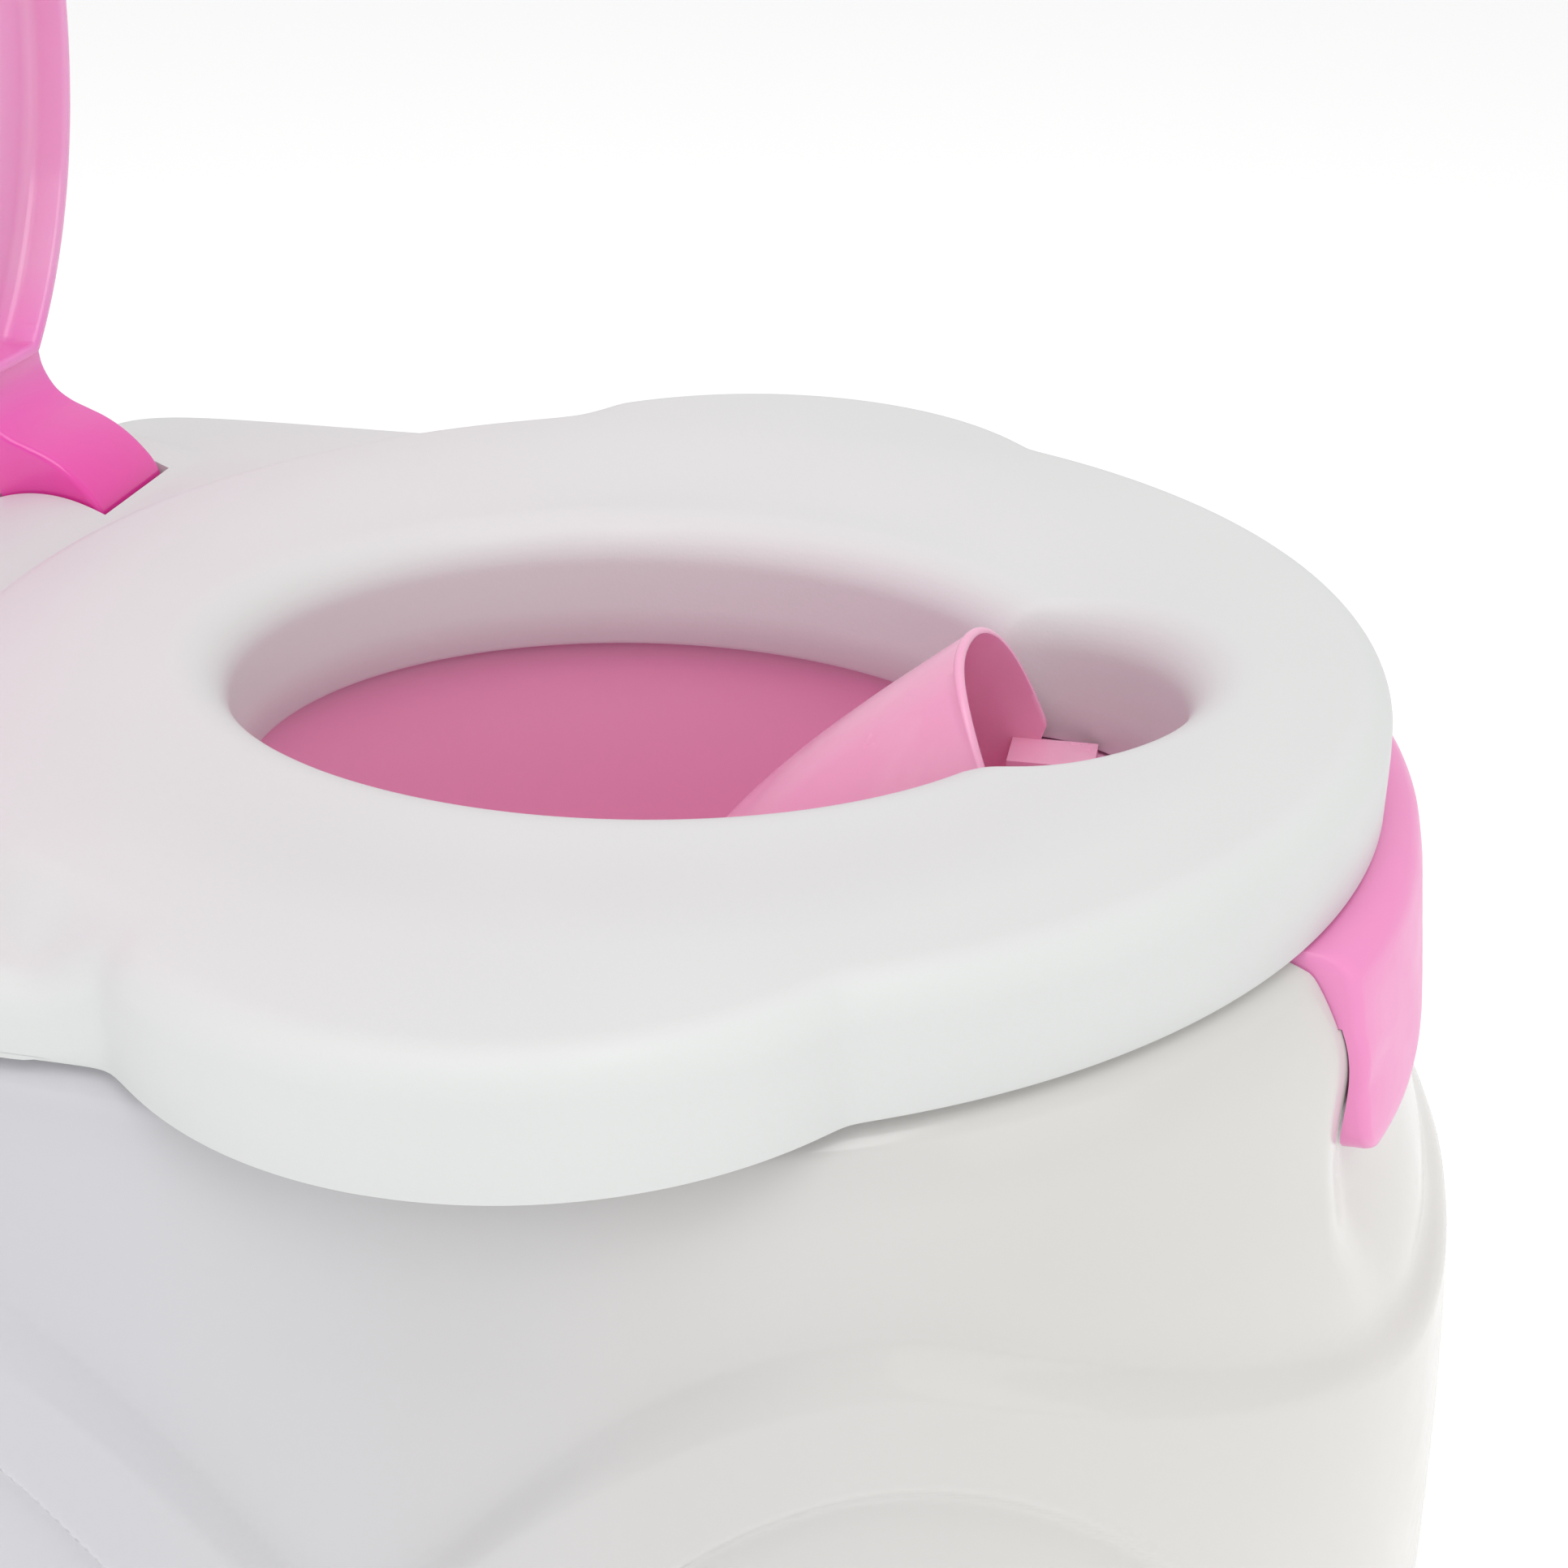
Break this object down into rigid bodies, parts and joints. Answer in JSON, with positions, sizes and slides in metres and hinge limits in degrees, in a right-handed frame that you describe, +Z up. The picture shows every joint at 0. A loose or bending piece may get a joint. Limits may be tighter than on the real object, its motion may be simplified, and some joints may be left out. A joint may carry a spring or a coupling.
{
  "type": "potty training chair",
  "caption": "Child's potty chair: hollow moulded base, lift-out bowl with front grip, clip-on splash guard, contoured seat with side grips and a hinged lid.",
  "frame": {"origin": "on the floor under the middle of the chair's box", "axes": "+Z up, -Y towards the front of the seat where the bowl's grip hangs, +X to the sitter's left"},
  "size_m": [0.2992, 0.3586, 0.5007],
  "materials": {
    "base_gloss_white": "glossy, slightly translucent white polypropylene",
    "seat_white": "satin white polypropylene with a fine moulded grain",
    "bowl_pink": "semi-gloss pink polypropylene",
    "guard_pink": "glossy pink polypropylene",
    "lid_pink": "translucent glossy pink plastic",
    "grip_rubber": "matt grey rubber",
    "bumper_rubber": "matt translucent white rubber",
    "pin_white": "plain white acetal"
  },
  "bodies": {
    "base": {"base_shell": "base_gloss_white", "foot_front_left": "grip_rubber", "foot_front_right": "grip_rubber", "foot_rear_left": "grip_rubber", "foot_rear_right": "grip_rubber"},
    "bowl": {"bowl": "bowl_pink"},
    "guard": {"splash_guard": "guard_pink"},
    "seat": {"seat": "seat_white", "hinge_pin_left": "pin_white", "hinge_pin_right": "pin_white"},
    "lid": {"lid": "lid_pink", "lid_bumper_left": "bumper_rubber", "lid_bumper_right": "bumper_rubber"}
  },
  "joints": [
    {"name": "bowl_lift", "type": "slide", "parent": "base", "child": "bowl", "axis": [0, 0, 1], "range_m": [0, 0.14]},
    {"name": "guard_lift", "type": "slide", "parent": "bowl", "child": "guard", "axis": [0, 0, 1], "range_m": [0, 0.09]},
    {"name": "seat_lift", "type": "slide", "parent": "bowl", "child": "seat", "axis": [0, 0, 1], "range_m": [0, 0.1]},
    {"name": "lid_hinge", "type": "hinge", "parent": "seat", "child": "lid", "pos_m": [0, 0.1389, 0.218], "axis": [1, 0, 0], "range_deg": [0, 94]}
  ]
}
